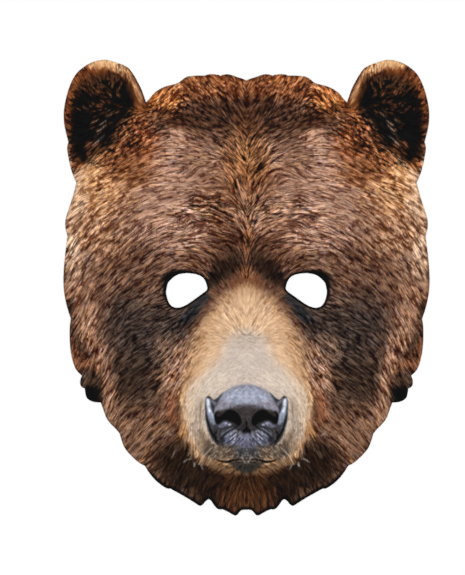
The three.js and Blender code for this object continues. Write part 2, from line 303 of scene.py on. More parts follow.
# shapes painted over the hairs, from the back to the front: the edge's softness, tone, strength and points
noseShapes = [
    ("whole nose", 1.8, "leatherDark", 1.0, [(254, 397), (236, 397), (228, 397), (222, 396), (217, 398),
        (213, 399.5), (209, 396), (206, 397), (204.6, 402), (204.6, 412), (205.2, 420), (206.8, 428),
        (209.4, 435), (213, 441), (218, 446), (226, 450), (250, 452)]),
    ("pad", 3, "leather", 1.0, [(254, 384), (246, 384), (238, 385), (230, 388), (223.5, 392.5), (219.5, 397),
        (217.5, 402), (215, 407), (213.8, 412), (214, 416), (222, 411), (232, 408), (240, 410), (250, 412)]),
    ("pad top", 6, "leatherPale", 0.9, [(256, 387), (246, 387), (238, 388), (231, 391), (226, 395),
        (222, 400), (221, 404), (228, 403), (236, 403), (256, 403)]),
    ("pad sheen", 8, "leatherSheen", 0.5, [(256, 389), (246, 389), (238, 389), (230, 391), (225, 396),
        (228, 401), (240, 401.5), (256, 401.5)]),
    ("pad lobe", 3, "leatherMauve", 0.8, [(221, 399), (218, 402), (215.4, 407), (214.4, 411), (218, 410),
        (223, 406.5), (230, 405.5), (233, 403.5), (226, 402)]),
    ("pad under", 8, "leatherWarm", 0.95, [(256, 406), (240, 406), (232, 408), (228, 410), (234, 413),
        (240, 420), (244, 432), (256, 432)]),
    ("notch", 1.8, "slate", 0.9, [(223, 392.5), (219, 395.5), (216, 398.5), (213.5, 400.5), (215, 402.5),
        (218, 400), (220.5, 396.5)]),
    ("fold", 1.8, "leatherMauve", 0.7, [(209, 398), (212, 400), (216, 403), (214, 406), (211, 403)]),
    ("low notch", 1.8, "leatherDark", 0.9, [(210.4, 402), (212, 403.5), (214, 406), (212.6, 411),
        (211, 408)]),
    ("flare", 2.4, "flare", 0.95, [(206, 398), (208.5, 399), (210, 403), (210.4, 407), (212, 412),
        (214.4, 418), (215, 424), (211.5, 424), (208, 418), (206.2, 410), (205.4, 403)]),
    ("flare low", 4, "steel", 0.4, [(208, 418), (214, 420), (217, 427), (212, 429), (208, 425)]),
    ("flare glint", 2.2, "glint", 1.0, [(206.8, 399), (209, 401), (209, 406), (210, 412), (208, 411),
        (206.4, 404)]),
    ("flare side", 1.5, "steel", 0.7, [(204.8, 410), (206, 413), (207.6, 420), (209, 428), (207, 428),
        (205, 420)]),
    ("nostril", 1.8, "coal", 1.0, [(214, 414), (217, 411), (221, 412.5), (224, 411), (228, 409.8),
        (233, 410.5), (237, 413), (240, 417.5), (241, 421.5), (239.5, 425), (236.5, 425), (234, 423),
        (231, 421.8), (227, 420), (223, 420), (220, 422), (217.5, 424), (215, 422.5), (213.8, 418)]),
    ("nostril ridge", 3, "ridge", 0.8, [(217, 411.5), (221, 409.8), (226, 409.5), (224, 413), (219, 416.5),
        (216, 416)]),
    ("nostril sill", 2.0, "lavender", 0.8, [(217, 426.5), (220, 424), (224, 421.6), (228, 422.4),
        (231, 424.6), (227, 425.6), (221, 428)]),
    ("sill glint", 1.2, "flare", 0.8, [(222.4, 423.4), (224.6, 422), (227, 422.8), (225, 424)]),
    ("sill glint side", 1.2, "glint", 0.6, [(227.6, 424.4), (229.6, 423.6), (231, 425), (229, 425.8)]),
    ("septum", 1.8, "coal", 1.0, [(250, 421), (245.4, 421), (245.2, 427), (242, 430.6), (239, 432.6),
        (246, 433.6), (254, 433.6)]),
    ("lip pad", 7, "lavender", 0.9, [(256, 433.6), (246, 433), (240, 434), (234, 431), (229, 432), (224, 438),
        (225, 442), (230, 446), (238, 448), (246, 449), (256, 449)]),
    ("lip corner", 4, "leatherDark", 0.8, [(231, 427), (225, 432), (219, 437), (216, 433), (214, 428),
        (222, 429)]),
    ("lip side", 5, "lipSide", 0.85, [(236, 446), (228, 446), (220, 445), (216, 450), (217, 457),
        (224, 459.5), (236, 459)]),
    ("lip middle", 7, "lipFur", 0.9, [(256, 450), (242, 450), (237, 449), (233, 454), (234, 459),
        (256, 460)]),
    ("chin shade", 4, "chinFur", 0.9, [(256, 461), (238, 461), (228, 462), (233, 467.5), (240, 472),
        (246, 473.5), (254, 472)]),
]

# the leather's speckles, by size in pixels and strength, and how the scratchy short hairs of the lips lie
noseGrain = {
    "speckles": ((1.0, 0.05), (2.2, 0.045)),
    "hairAngle": -48,
    "hairLength": 7,
}
noseHairs = [
    # px, py, half-width and half-height of a patch of hairs, and the values of its coat
    (229, 438, 11, 7, 110, 0.9, 0.9, 0.35, -0.05, 12.0, 0.0),
    (226, 452, 10, 7, 120, 1.0, 1.0, 0.35, -0.05, 12.0, 0.0),
    (242, 456, 8, 9, 60, 0.8, 0.6, 0.3, -0.05, 30.0, 0.0),
]

# single hairs and lines over all the rest: width in the middle, tone, strength and points from root to tip
lines = [
    ("flare foot", 1.6, "coal", 0.8, [(205.2, 413), (207, 421), (209.6, 429), (213.4, 437), (219, 444)]),
    ("mouth", 1.9, "coal", 0.85, [(215, 458.5), (218, 460.4), (222, 461.6), (228, 461.2), (233, 460),
        (239, 459.4), (248, 460)]),
    ("mouth fold", 1.5, "coal", 0.7, [(219, 461), (226, 462.6), (232, 461.6)]),
    ("mouth fold", 1.2, "coal", 0.6, [(234, 461), (239, 462.4), (244, 462)]),
    ("lip crease", 1.4, "coal", 0.8, [(240, 424), (233, 428.5), (225, 433), (219, 438)]),
    ("lip crease", 1.2, "coal", 0.6, [(236, 432), (231, 436.5), (226, 441)]),
    ("lip scratch", 1.2, "flare", 0.8, [(233, 431), (228, 434.5), (223, 438)]),
    ("lip scratch", 1.4, "flare", 0.7, [(238, 440), (233, 443), (228, 445)]),
    ("lip scratch", 1.0, "flare", 0.7, [(229, 437), (226, 441), (222, 444)]),
    ("lip scratch", 0.9, "flare", 0.6, [(235, 427), (229, 429.5), (224, 433), (219, 437.5)]),
    ("lip scratch", 0.8, "flare", 0.5, [(231, 428), (225, 431), (220, 435)]),
    ("lip scratch", 0.9, "glint", 0.6, [(236, 434), (232, 437), (229, 440)]),
    ("lip scratch", 0.9, "flare", 0.7, [(232, 440), (229, 442.4), (225, 444)]),
    ("lip crease", 1.1, "coal", 0.7, [(234, 437), (230, 441), (226, 443.5)]),
    ("lip crease", 1.2, "coal", 0.6, [(241, 437), (237, 441), (233, 445)]),
    ("lip crease", 1.4, "coal", 0.7, [(217, 430), (214, 434), (216, 439)]),
    ("muzzle crease", 1.2, "lipSide", 0.4, [(204, 396), (200, 404), (200, 414), (198, 424)]),
    ("muzzle crease", 1.0, "lipSide", 0.4, [(201, 418), (199, 430), (204, 442)]),
    ("chin tip", 1.2, "jawRed", 0.65, [(229, 492), (229, 502), (228, 508)]),
    ("chin tip", 1.2, "jawRed", 0.65, [(234, 494), (234, 504), (233, 511)]),
    ("chin tip", 1.1, "jawRed", 0.7, [(223, 490), (222, 498), (220, 505)]),
    ("chin tip", 1.0, "jawRed", 0.6, [(218, 486), (217, 494), (214, 502)]),
    ("chin tip", 1.0, "jawRed", 0.5, [(240, 490), (240, 496), (240, 501)]),
    ("chin tip", 1.0, "jawRed", 0.5, [(244.5, 488), (244.5, 494), (244.5, 500)]),
    ("chin hair", 0.9, "whisker", 0.7, [(241, 456), (243, 460), (245, 464)]),
    ("side scratch", 1.0, "whisker", 0.5, [(213, 446), (207, 452), (202, 457)]),
    ("side scratch", 0.8, "whisker", 0.4, [(216, 450), (211, 455), (206, 459)]),
    ("whisker", 0.9, "whisker", 0.7, [(191, 458), (186, 460), (182, 463)]),
    ("whisker", 1.2, "whisker", 0.8, [(194, 462), (194, 464.5), (193.4, 467)]),
    ("whisker", 0.9, "whisker", 0.6, [(199, 463), (201, 466), (203, 470)]),
    ("whisker", 0.8, "whisker", 0.5, [(166, 431), (169, 434), (172, 436)]),
    ("whisker", 0.8, "whisker", 0.45, [(174, 429), (169, 433), (164, 436)]),
    ("whisker", 0.8, "wisp", 0.6, [(176, 448), (172, 453), (169, 457)]),
    ("whisker", 0.8, "wisp", 0.6, [(184, 440), (178, 446), (174, 449)]),
    ("whisker", 0.9, "wisp", 0.8, [(180, 447), (174, 453), (170, 459)]),
    ("ear wisp", 1.0, "whisker", 0.45, [(105, 135), (100, 139), (95, 143), (91, 147)]),
    ("ear wisp", 1.2, "wisp", 0.8, [(107, 124), (101, 129), (95, 132)]),
    ("ear wisp", 1.1, "wisp", 0.7, [(107, 120), (103, 123), (98, 126)]),
    ("ear wisp", 1.0, "wisp", 0.6, [(115, 110), (110, 115), (105, 118)]),
    ("ear wisp", 1.0, "wisp", 0.4, [(111, 108), (107, 112), (104, 115)]),
    ("ear wisp", 1.2, "earBrown", 0.9, [(98, 143), (93, 147), (88, 152)]),
    ("ear wisp", 1.0, "wisp", 0.3, [(102, 130), (97, 135), (93, 139)]),
]


def enlarge(coarse, shape):
    # reads a coarse array between its points, so that it fills a finer one
    r = np.linspace(0, coarse.shape[0] - 1.001, shape[0])
    c = np.linspace(0, coarse.shape[1] - 1.001, shape[1])
    r0, c0 = r.astype(int), c.astype(int)
    fr = (r - r0).reshape(-1, *([1] * (coarse.ndim - 1)))
    fc = (c - c0).reshape(1, -1, *([1] * (coarse.ndim - 2)))
    top = coarse[r0][:, c0] * (1 - fc) + coarse[r0][:, c0 + 1] * fc
    low = coarse[r0 + 1][:, c0] * (1 - fc) + coarse[r0 + 1][:, c0 + 1] * fc
    return top * (1 - fr) + low * fr


def softNoise(feature, rng):
    # random heights every few pixels with smooth slopes between, mean 0 and spread 1
    size = [int(count * canvas["cell"] / feature) + 3 for count in gridOut.shape]
    wave = enlarge(rng.standard_normal(size), gridOut.shape)
    return (wave - wave.mean()) / wave.std()


def combFields(reach=10.0, every=6):
    # Cosine, sine, length and contrast of the fur at each cell: the mean over the strokes' straight
    # stretches, weighted by exp(-(distance/reach)^2), with a small share that falls off slowly.
    o, d = np.abs(fromParting)[::every, ::every], gridDown[::every, ::every]
    total = np.zeros((5,) + o.shape)
    for name, length, contrast, points in strokes:
        for (x0, y0), (x1, y1) in zip(points, points[1:]):
            along, up = x0 - x1, y0 - y1
            far = np.hypot(along, up)
            x, y = o - (photo["middleX"] - x0), d - y0
            s = np.clip((x * along - y * up) / far ** 2, 0, 1)
            near = ((x - s * along) ** 2 + (y + s * up) ** 2) / reach ** 2
            w = np.exp(-near) + 0.0003 / (1 + near) ** 2
            total += w * np.array([along / far, up / far, length, contrast, 1.0]).reshape(5, 1, 1)
    total[0] *= np.sign(fromParting[::every, ::every])
    return enlarge(np.moveaxis(total[:4] / total[4], 0, 2), gridOut.shape)


def smoothLoop(points, steps=6):
    # a closed curve through the points: each stretch is a cubic led by its neighbours
    p = np.array(points, float)
    a, b, c, d = (np.roll(p, k, 0)[:, None, :] for k in (1, 0, -1, -2))
    t = (np.arange(steps) / steps)[None, :, None]
    square, cube = 2 * a - 5 * b + 4 * c - d, 3 * b - a - 3 * c + d
    curve = 0.5 * (2 * b + (c - a) * t + square * t ** 2 + cube * t ** 3)
    return curve.reshape(-1, 2)


def edgeDistance(loop, o, d):
    # distance to a closed line of corners, above 0 inside it and below 0 outside
    near = np.full(o.shape, 1e9)
    inside = np.zeros(o.shape, bool)
    for (x0, y0), (x1, y1) in zip(loop, np.roll(loop, -1, 0)):
        ex, ey = x1 - x0, y1 - y0
        s = np.clip(((o - x0) * ex + (d - y0) * ey) / (ex * ex + ey * ey + 1e-12), 0, 1)
        near = np.minimum(near, (o - x0 - s * ex) ** 2 + (d - y0 - s * ey) ** 2)
        if y0 != y1:
            inside ^= ((d < y0) != (d < y1)) & (o < x0 + (d - y0) / (y1 - y0) * ex)
    return np.where(inside, 1, -1) * np.sqrt(near)


def patchAround(points, margin):
    # the part of the canvas round some points, as rows and columns
    low, high = points.min(0) - margin, points.max(0) + margin
    cols = [int(np.clip((v + canvas["pastMiddle"]) / canvas["cell"], 0, acrossCount))
            for v in (low[0], high[0] + canvas["cell"])]
    rows = [int(np.clip((v - canvas["top"]) / canvas["cell"], 0, downCount))
            for v in (low[1], high[1] + canvas["cell"])]
    return slice(*rows), slice(*cols)


def shapeWeight(soft, points):
    # the part of the canvas round a closed shape, and its weight: 0 to 1 over the soft width at its edge
    loop = smoothLoop(points)
    loop[:, 0] = photo["middleX"] - loop[:, 0]
    patch = patchAround(loop, soft)
    return patch, smooth(0.5 + edgeDistance(loop, gridOut[patch], gridDown[patch]) / soft)


def fillShape(paper, soft, tone, strength, points):
    patch, weight = shapeWeight(soft, points)
    paper[patch] += strength * weight[..., None] * (np.array(tones[tone], float) - paper[patch])


def drawLine(paper, width, tone, strength, points):
    # a line that narrows to both ends, with an edge 0.9 pixels wide
    p = np.array(points, float)
    p[:, 0] = photo["middleX"] - p[:, 0]
    patch = patchAround(p, width + 1)
    o, d = gridOut[patch], gridDown[patch]
    w = np.zeros(o.shape)
    count = len(p) - 1
    for k, ((x0, y0), (x1, y1)) in enumerate(zip(p, p[1:])):
        ex, ey = x1 - x0, y1 - y0
        s = np.clip(((o - x0) * ex + (d - y0) * ey) / (ex * ex + ey * ey), 0, 1)
        half = 0.5 * width * np.sqrt(np.clip(1 - (2 * (k + s) / count - 1) ** 4, 0.05, 1))
        far = np.hypot(o - x0 - s * ex, d - y0 - s * ey)
        w = np.maximum(w, smooth((half + 0.45 - far) / 0.9) * half / (0.5 * width))
    paper[patch] += strength * w[..., None] * (np.array(tones[tone], float) - paper[patch])


def outFrom(px):
    # how far outwards from px each cell lies; a place right of the middle is meant on that side alone
    return (np.abs(fromParting) if px <= photo["middleX"] else gridOut) - (photo["middleX"] - px)


def dabTone(base):
    # a dab's weight is full at its middle and falls to 0 at one and a half times its half-widths
    tone = np.ones(gridOut.shape + (3,)) * np.array(tones[base], float)
    for name, px, py, across, up, tilt, colour, strength in dabs:
        a = np.radians(tilt)
        x, y = outFrom(px), py - gridDown
        u, v = x * np.cos(a) + y * np.sin(a), -x * np.sin(a) + y * np.cos(a)
        w = strength * smooth(1.5 - np.hypot(u / across, v / up))
        tone += w[..., None] * (np.array(tones[colour], float) - tone)
    for name, soft, colour, strength, points in furShapes:
        fillShape(tone, soft, colour, strength, points)
    return tone


hair = {
    "lightLimit": 0.22,  # how much lighter than the fur round it a hair can get, as a share of its brightness
    "brightest": 208.0,  # the mean of red, green and blue that hairs of pale fur come near
    "warmth": (0.5, 0.05, -0.8),  # the step in red, green and blue from a neutral hair to a golden one
    "warmthSpread": 0.06,
    "evenStep": (1.03, 1.0, 0.88),  # the even part of a step in red, green and blue
    "lightPart": 0.15,  # the share of a light hair's step that is in proportion to the tone
    "greyish": 1.28,  # red over the mean, up to which a dark hair's step is even
    "redGain": 2.0,  # how fast it turns to a step in proportion above that
    "gloss": (0.9, 0.55),  # how much lighter a hair is in its middle, and how much darker at its ends
    "noseDown": 400.0,  # py of the place from which the hairs' order is measured
    "disorder": 6.0,  # pixels by which that order is mixed
    "acrossStep": 0.9,  # cells between two lines of a hair
    "lengths": (0.6, 1.4),  # the shortest and longest hair as shares of the fur's length
}


def shade(tone, light):
    # A lighter or darker hair differs by a step in red, green and blue, partly even and partly in proportion
    # to the tone. The step down is even in greyish fur, so its shadows turn redder, and in proportion in red
    # fur.
    light = np.asarray(light)[..., None]
    mean = tone.mean(axis=-1, keepdims=True)
    redness = np.clip((tone[..., :1] / mean - hair["greyish"]) * hair["redGain"], 0, 1)
    part = np.where(light > 0, hair["lightPart"], redness)
    hue = (1 - part) * np.array(hair["evenStep"]) + part * tone / mean
    return tone + light * mean * hue


def cellOf(o, d):
    c = np.clip(((o + canvas["pastMiddle"]) / canvas["cell"]).astype(int), 0, acrossCount - 1)
    r = np.clip(((d - canvas["top"]) / canvas["cell"]).astype(int), 0, downCount - 1)
    return r, c


def smear(noise, cosField, sinField, steps):
    # drags a noise along the fur: each cell becomes the mean of the noise on the hair through it
    total = noise.copy()
    for sign in (1, -1):
        o, d = gridOut.copy(), gridDown.copy()
        for k in range(steps):
            r, c = cellOf(o, d)
            o += sign * cosField[r, c] * canvas["cell"]
            d -= sign * sinField[r, c] * canvas["cell"]
            r, c = cellOf(o, d)
            total += noise[r, c]
    total -= total.mean()
    return total / total.std()


def layHairs(paper, tone, fields, where, rng, count, width, lengthGain, spread, bias, curl, hollow):
    # Each hair starts at a random place, follows the fur for its length and narrows to its tip. It is
    # lightest in its middle, darker to its sides by the hollow value, and covers what lies under it. A hair
    # nearer the nose lies over one further out. Some hairs are more golden and some greyer than the fur.
    cosField, sinField, lengthField, contrastField = np.moveaxis(fields, 2, 0)
    start = rng.choice(where.size, count, p=where.ravel() / where.sum())
    o = outward[start % acrossCount] + rng.uniform(-0.5, 0.5, count) * canvas["cell"]
    d = down[start // acrossCount] + rng.uniform(-0.5, 0.5, count) * canvas["cell"]
    order = np.argsort(-(np.hypot(o, d - hair["noseDown"]) + rng.normal(0, hair["disorder"], count)))
    o, d, start = o[order], d[order], start[order]
    length = lengthField.ravel()[start] * lengthGain * rng.uniform(*hair["lengths"], count)
    contrast = contrastField.ravel()[start]
    light = (rng.normal(0, 1, count) * spread + bias) * contrast
    root = tone.reshape(-1, 3)[start]
    limit = np.clip(0.8 * (hair["brightest"] / root.mean(axis=1) - 1), 0.01, hair["lightLimit"])
    light = np.where(light > 0, limit * np.tanh(light / limit), light)
    warmth = hair["warmthSpread"] * rng.normal(0, 1, count) * np.minimum(contrast * 4, 1)
    root = root + (warmth * root.mean(axis=1))[:, None] * np.array(hair["warmth"])
    turn = np.radians(rng.normal(0, curl, count))
    o -= 0.5 * length * cosField.ravel()[start]
    d += 0.5 * length * sinField.ravel()[start]
    steps = int(np.ceil(length.max() / canvas["cell"]))
    reach = np.ceil(0.5 * width / canvas["cell"] / hair["acrossStep"])
    middleGloss, endGloss = hair["gloss"]
    rows, cols, shades, ids = [], [], [], []
    t = np.zeros(count)
    for k in range(steps):
        r, c = cellOf(o, d)
        a = np.arctan2(sinField[r, c], cosField[r, c]) + turn * (1 - 2 * t)
        ca, sa = np.cos(a), np.sin(a)
        o, d = o + ca * canvas["cell"], d - sa * canvas["cell"]
        t = np.minimum((k + 1) * canvas["cell"] / length, 1.001)
        half = 0.5 * width * np.sqrt(np.clip(1 - t, 0, 1)) * (0.5 + 0.5 * np.minimum(t * 5, 1))
        gloss = light + contrast * (middleGloss * np.sin(np.pi * np.minimum(t, 1) ** 0.8) - endGloss)
        for shift in np.arange(-reach, reach + 1) * hair["acrossStep"] * canvas["cell"]:
            on = (t < 1) & (abs(shift) <= half + 0.25 * canvas["cell"])
            rr, cc = cellOf(o[on] + sa[on] * shift, d[on] + ca[on] * shift)
            rows.append(rr)
            cols.append(cc)
            ids.append(np.flatnonzero(on))
            shades.append((gloss - hollow * contrast * (shift / (0.5 * width)) ** 2)[on])
    ids, rows, cols, shades = map(np.concatenate, (ids, rows, cols, shades))
    put = np.argsort(ids, kind="stable")
    paper[rows[put], cols[put]] = shade(root[ids[put]], shades[put])


def ellipse(px, py, across, up):
    return softEllipse(outFrom(px), gridDown, 0.0, py, across, up)


# px, py, half-width and half-height of the places where the fur differs
furSpots = {
    "wavy": (196, 200, 50, 42),
    "crown": (205, 84, 60, 14),
    "crown side": (158, 102, 30, 22),
    "ear root": (128, 134, 28, 20),
    "brow inner": (212, 216, 28, 28),
    "temple": (100, 222, 34, 50),
    "ear top": (102, 85, 26, 12),
    "ear middle": (98, 112, 20, 20),
    "ear foot": (91, 147, 9, 9),
}
fur = {
    "ground": "umber",
    "wave": (10.0, 4, 8),  # pixels across a wave, the degrees that it turns the fur, and what wavy fur adds
    "locks": (2.8, 18, 0.25),  # pixels across a lock, half its length in cells, and its strength
    "tufts": (2.2, 5, 0.14),
    "crownTufts": 0.6,  # how tufted the crown is, where the ear root is 1
    "under": 1.6,  # how much darker the fur's ground is, by the contrast
}

# the coats of hair, from the first laid to the last; a coat without a tone takes the fur's own
coats = [
    # where, tone, hairs, width, gain in length, spread and bias of the light, curl in degrees, hollow
    ("everywhere", None, 12000, 2.4, 1.3, 0.7, 0.1, 3.0, 1.6),
    ("everywhere", None, 24000, 1.4, 1.1, 0.9, 0.0, 3.0, 0.8),
    ("everywhere", None, 29000, 0.9, 1.0, 1.0, 0.0, 3.0, 0.0),
    ("contrasty", None, 13500, 0.9, 1.0, 0.5, -2.8, 3.0, 0.0),
    ("contrasty", None, 10600, 1.0, 1.0, 0.5, 1.2, 3.0, 0.0),
    ("tufted", None, 660, 1.3, 0.6, 0.4, -2.0, 14.0, 0.0),
    ("brow inner", None, 110, 1.3, 1.1, 0.3, -2.0, 3.0, 0.0),
    ("temple", None, 170, 1.2, 0.75, 0.4, -2.8, 6.0, 0.0),
    ("ear top", "earBrown", 110, 0.9, 0.9, 0.5, -0.6, 7.0, 0.0),
    ("ear middle", "earBrown", 50, 0.9, 1.0, 0.3, -0.6, 7.0, 0.0),
    ("ear foot", "earBrown", 26, 1.1, 1.1, 0.4, -0.6, 7.0, 0.0),
]


def paintFur(rng):
    fields = combFields()
    tone = dabTone(fur["ground"])
    spots = {name: ellipse(*place) for name, place in furSpots.items()}
    size, turn, added = fur["wave"]
    wave = np.radians(turn + added * spots["wavy"]) * softNoise(size, rng)
    a = np.arctan2(fields[..., 1], fields[..., 0]) + wave
    fields[..., 0], fields[..., 1] = np.cos(a), np.sin(a)
    contrast = fields[..., 3]
    clumps = [strength * smear(softNoise(size, rng), fields[..., 0], fields[..., 1], steps)
              for size, steps, strength in (fur["locks"], fur["tufts"])]
    crown = np.maximum(spots["crown"], spots["crown side"])
    tufted = np.maximum(fur["crownTufts"] * crown, spots["ear root"])
    tone = shade(tone, contrast * clumps[0] + tufted * clumps[1])
    paper = shade(tone, -fur["under"] * contrast)
    spots["everywhere"] = np.ones(gridOut.shape)
    spots["contrasty"] = contrast
    spots["tufted"] = tufted + 0.001
    spots["brow inner"] = spots["brow inner"] * (gridOut > 0)
    for name in ("ear top", "ear middle", "ear foot"):
        spots[name] = spots[name] ** 2
    for place, colour, *values in coats:
        under = tone if colour is None else np.ones(tone.shape) * np.array(tones[colour], float)
        layHairs(paper, under, fields, spots[place], rng, *values)
    return fields, paper


def paintNose(paper, fields, rng):
    for name, soft, tone, strength, points in noseShapes:
        fillShape(paper, soft, tone, strength, points)
    grain = sum(strength * softNoise(size, rng) for size, strength in noseGrain["speckles"])
    nose = np.zeros(gridOut.shape)
    for name, soft, tone, strength, points in noseShapes:
        patch, weight = shapeWeight(soft, points)
        nose[patch] = np.maximum(nose[patch], weight)
    paper *= (1 + nose * grain)[..., None]
    short = fields.copy()
    a = np.radians(noseGrain["hairAngle"])
    short[:] = np.cos(a), np.sin(a), noseGrain["hairLength"], 1.0
    for px, py, across, up, *values in noseHairs:
        layHairs(paper, paper.copy(), short, ellipse(px, py, across, up) * (gridOut > 0), rng, *values)


def paintPrint():
    rng = np.random.default_rng(canvas["seed"])
    fields, paper = paintFur(rng)
    paintNose(paper, fields, rng)
    for name, width, tone, strength, points in lines:
        drawLine(paper, width, tone, strength, points)
    return fields, np.clip(paper, 2, 250)


# the card
card = {
    "node": "mask_card",
    "spacing": 0.775,  # millimetres between points of the printed face
    "fineSpacing": 0.515,  # the same round the nose, mouth and eye holes
    # px, py, half-width and half-height of those places
    "finePatches": [(246, 424, 60, 46), (186, 290, 28, 26)],
    "lipWidth": 0.14,  # the die rounds the front edge over this width and depth
    "lipSteps": 3,
    "sharpness": 0.5,  # how much of the print's fine contrast is added again where it is read
    "clearance": 0.6,  # the least distance from a point to the edge, as a share of the spacing
}


def topEdges(node):
    # The closed edges of the node's top face, in millimetres, with the card on their left: the sides of its
    # triangles that no other triangle shares, joined end to end.
    mesh = node.data
    places = np.empty(len(mesh.vertices) * 3)
    mesh.vertices.foreach_get("co", places)
    corners = np.empty(len(mesh.loops), int)
    mesh.loops.foreach_get("vertex_index", corners)
    triangles = places.reshape(-1, 3)[corners.reshape(-1, 3)] * 1000
    height = triangles[..., 2].max()
    flat = triangles[(triangles[..., 2] > height - 0.001).all(axis=1)][..., :2]
    points, index = np.unique(np.round(flat.reshape(-1, 2), 4), axis=0, return_inverse=True)
    index = index.reshape(-1, 3)
    sides = set(map(tuple, np.concatenate([index[:, [0, 1]], index[:, [1, 2]], index[:, [2, 0]]]).tolist()))
    following = {a: b for a, b in sides if (b, a) not in sides}
    edges = []
    while following:
        first, at = following.popitem()
        chain = [first]
        while at != first:
            chain.append(at)
            at = following.pop(at)
        edges.append(points[chain])
    edges.sort(key=len, reverse=True)
    return edges, height


def subdivide(edge, spacing):
    # each side is cut into equal steps no longer than the spacing
    side = np.roll(edge, -1, 0) - edge
    steps = np.ceil(np.hypot(*side.T) / spacing).astype(int)
    which = np.repeat(np.arange(len(edge)), steps)
    share = (np.arange(len(which)) - np.repeat(np.cumsum(steps) - steps, steps)) / steps[which]
    return edge[which] + side[which] * share[:, None]


def inset(edge, width):
    # moves each point into the card along the mean of its two sides' inward directions
    side = np.roll(edge, -1, 0) - edge
    inward = np.stack([-side[:, 1], side[:, 0]], 1) / np.hypot(*side.T)[:, None]
    mean = inward + np.roll(inward, 1, 0)
    return edge + width * mean / np.maximum(np.hypot(*mean.T), 0.8)[:, None]


def cardDepth(edges, x, y):
    # how far a point lies inside the outline, and how far outside the nearest eye hole, in millimetres
    outline = edgeDistance(edges[0], x, y)
    holes = np.minimum(*(-edgeDistance(edge, x, y) for edge in edges[1:]))
    return outline, holes


def hexGrid(low, high, spacing):
    # rows of points with every other row moved by half a step
    x = np.arange(low[0], high[0], spacing)
    y = np.arange(low[1], high[1], spacing * np.sqrt(0.75))
    gx, gy = np.meshgrid(x, y)
    gx = gx + (np.arange(len(y)) % 2)[:, None] * spacing / 2
    return np.stack([gx.ravel(), gy.ravel()], 1)


def toPhoto(x, y):
    # millimetres on the card to pixels outwards from the middle and down the photograph
    pixel = photo["metresPerPixel"] * 1000
    return np.abs(x) / pixel, photo["middleY"] - y / pixel


def facePoints(edges):
    # the fine grid in its patches and the wider one elsewhere, wherever there is card and room from its edge
    low, high = edges[0].min(0), edges[0].max(0)
    kept = []
    for spacing, fine in ((card["spacing"], False), (card["fineSpacing"], True)):
        points = hexGrid(low, high, spacing)
        o, d = toPhoto(*points.T)
        inPatch = np.zeros(len(o), bool)
        for px, py, across, up in card["finePatches"]:
            inPatch |= np.hypot((o - (photo["middleX"] - px)) / across, (d - py) / up) < 1
        points = points[inPatch == fine]
        outline, holes = cardDepth(edges, *points.T)
        kept.append(points[np.minimum(outline, holes) > card["clearance"] * spacing])
    return np.concatenate(kept)


def triangulate(edges, inner):
    # Delaunay triangles between the closed edges and the inner points, without those off the card
    counts = [len(edge) for edge in edges]
    starts = np.cumsum([0] + counts)
    ring = [(start + i, start + (i + 1) % count)
            for start, count in zip(starts, counts) for i in range(count)]
    points = np.concatenate([*edges, inner])
    made = delaunay_2d_cdt([Vector(p) for p in points.tolist()], ring, [], 0, 1e-6)
    back = np.array([sources[0] for sources in made[3]])
    triangles = back[np.array(made[2])]
    onEdge = (triangles < starts[-1]).all(axis=1)
    middles = points[triangles[onEdge]].mean(axis=1)
    outline, holes = cardDepth(edges, *middles.T)
    off = np.flatnonzero(onEdge)[np.minimum(outline, holes) < 0]
    return np.delete(triangles, off, axis=0)


def sample(sheet, o, d):
    # reads the canvas between its cells
    c = np.clip((o + canvas["pastMiddle"]) / canvas["cell"] - 0.5, 0, acrossCount - 1.001)
    r = np.clip((d - canvas["top"]) / canvas["cell"] - 0.5, 0, downCount - 1.001)
    c0, r0 = c.astype(int), r.astype(int)
    fc, fr = (c - c0)[:, None], (r - r0)[:, None]
    upper = sheet[r0, c0] * (1 - fc) + sheet[r0, c0 + 1] * fc
    lower = sheet[r0 + 1, c0] * (1 - fc) + sheet[r0 + 1, c0 + 1] * fc
    return upper * (1 - fr) + lower * fr


def soften(sheet):
    # the mean of each cell and its eight neighbours
    wide = np.pad(sheet, ((1, 1), (1, 1), (0, 0)), mode="edge")
    rows = wide[:-2] + wide[1:-1] + wide[2:]
    return (rows[:, :-2] + rows[:, 1:-1] + rows[:, 2:]) / 9


def sharpen(sheet):
    # the softened canvas with the difference to a wider softening added again
    near = soften(sheet)
    far = soften(soften(soften(near)))
    return near + card["sharpness"] * (near - far)


def toLinear(tone):
    # screen tones of 0 to 255 to the ink's linear colour, without what the studio's light and the gloss add
    c = tone / 255
    seen = np.where(c <= 0.04045, c / 12.92, ((c + 0.055) / 1.055) ** 2.4)
    return np.clip((seen - ink["sheen"]) / ink["light"], 0.0015, 0.9)


rims = {
    "tone": "coal",
    "eyeWidth": 1.1,  # millimetres of black round an eye hole, and what is added at its upper outer side
    "eyeGain": 1.6,
    "eyeSide": (-0.7, 0.7),  # outwards and up: the side where it is widest
    "edgeWidth": 0.9,
    "edgeStrength": 0.1,
    "chinWidth": 2.0,
    "chinStrength": 0.95,
    "chinTop": (462, 478),  # py from which the chin's black rim comes in, and where it is full
}


